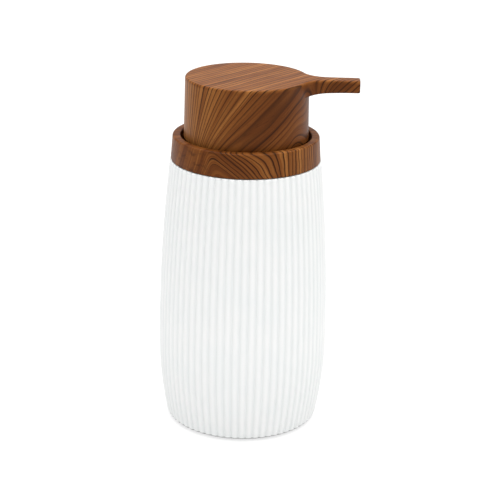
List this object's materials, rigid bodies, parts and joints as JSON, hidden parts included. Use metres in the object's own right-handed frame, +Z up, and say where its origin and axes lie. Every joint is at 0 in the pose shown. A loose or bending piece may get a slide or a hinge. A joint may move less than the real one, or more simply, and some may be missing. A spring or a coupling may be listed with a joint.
{
  "type": "soap pump dispenser",
  "caption": "Fluted bellied soap bottle with a wood-look ring collar and a wide low pump head with a flat spout, with its full lift pump inside.",
  "frame": {"origin": "centre of the face of the base pad that rests on the counter, on the bottle's axis", "axes": "+Z up along the bottle's axis, +X along the spout, +Y to the left of the spout"},
  "size_m": [0.0931, 0.0814, 0.17],
  "materials": {
    "stoneware": "matt white glaze",
    "foam_pad": "matt",
    "neck_plastic": "satin",
    "wood_look": "satin wood film",
    "cap_plastic": "satin",
    "gasket_foam": "matt",
    "pump_plastic": "natural polypropylene",
    "piston_plastic": "soft polyethylene",
    "ball_steel": "polished",
    "spring_steel": "drawn wire",
    "tube_plastic": "translucent polyethylene"
  },
  "bodies": {
    "bottle": {"bottle_body": "stoneware", "neck_insert": "neck_plastic", "base_pad": "foam_pad"},
    "pump_core": {"pump_housing": "pump_plastic", "stem_guide": "cap_plastic", "neck_gasket": "gasket_foam", "dip_tube": "tube_plastic", "spring_seat": "pump_plastic", "return_spring": "spring_steel"},
    "collar": {"collar_ring": "wood_look", "closure_cap": "cap_plastic"},
    "inlet_valve": {"inlet_ball": "ball_steel"},
    "plunger": {"plunger_rod": "pump_plastic"},
    "piston": {"piston_seal": "piston_plastic"},
    "head": {"head_shell": "wood_look", "head_insert": "cap_plastic", "outlet_tube": "tube_plastic", "stem": "pump_plastic"}
  },
  "joints": [
    {"name": "pump_lift_off", "type": "slide", "parent": "bottle", "child": "pump_core", "axis": [0, 0, 1], "range_m": [0, 0.15]},
    {"name": "collar_unscrew", "type": "hinge", "parent": "pump_core", "child": "collar", "pos_m": [0, 0, 0.1365], "axis": [0, 0, 1], "range_deg": [0, 450]},
    {"name": "inlet_ball_lift", "type": "slide", "parent": "pump_core", "child": "inlet_valve", "axis": [0, 0, 1], "range_m": [0, 0.0015]},
    {"name": "pump_press", "type": "slide", "parent": "pump_core", "child": "plunger", "axis": [0, 0, -1], "range_m": [0, 0.0085], "stiffness_N_per_m": 900, "springref_m": -0.009, "deforming": ["return_spring"]},
    {"name": "piston_slip", "type": "slide", "parent": "plunger", "child": "piston", "axis": [0, 0, 1], "range_m": [0, 0.00095]},
    {"name": "head_swivel", "type": "hinge", "parent": "plunger", "child": "head", "pos_m": [0, 0, 0.15], "axis": [0, 0, 1], "continuous": true}
  ]
}
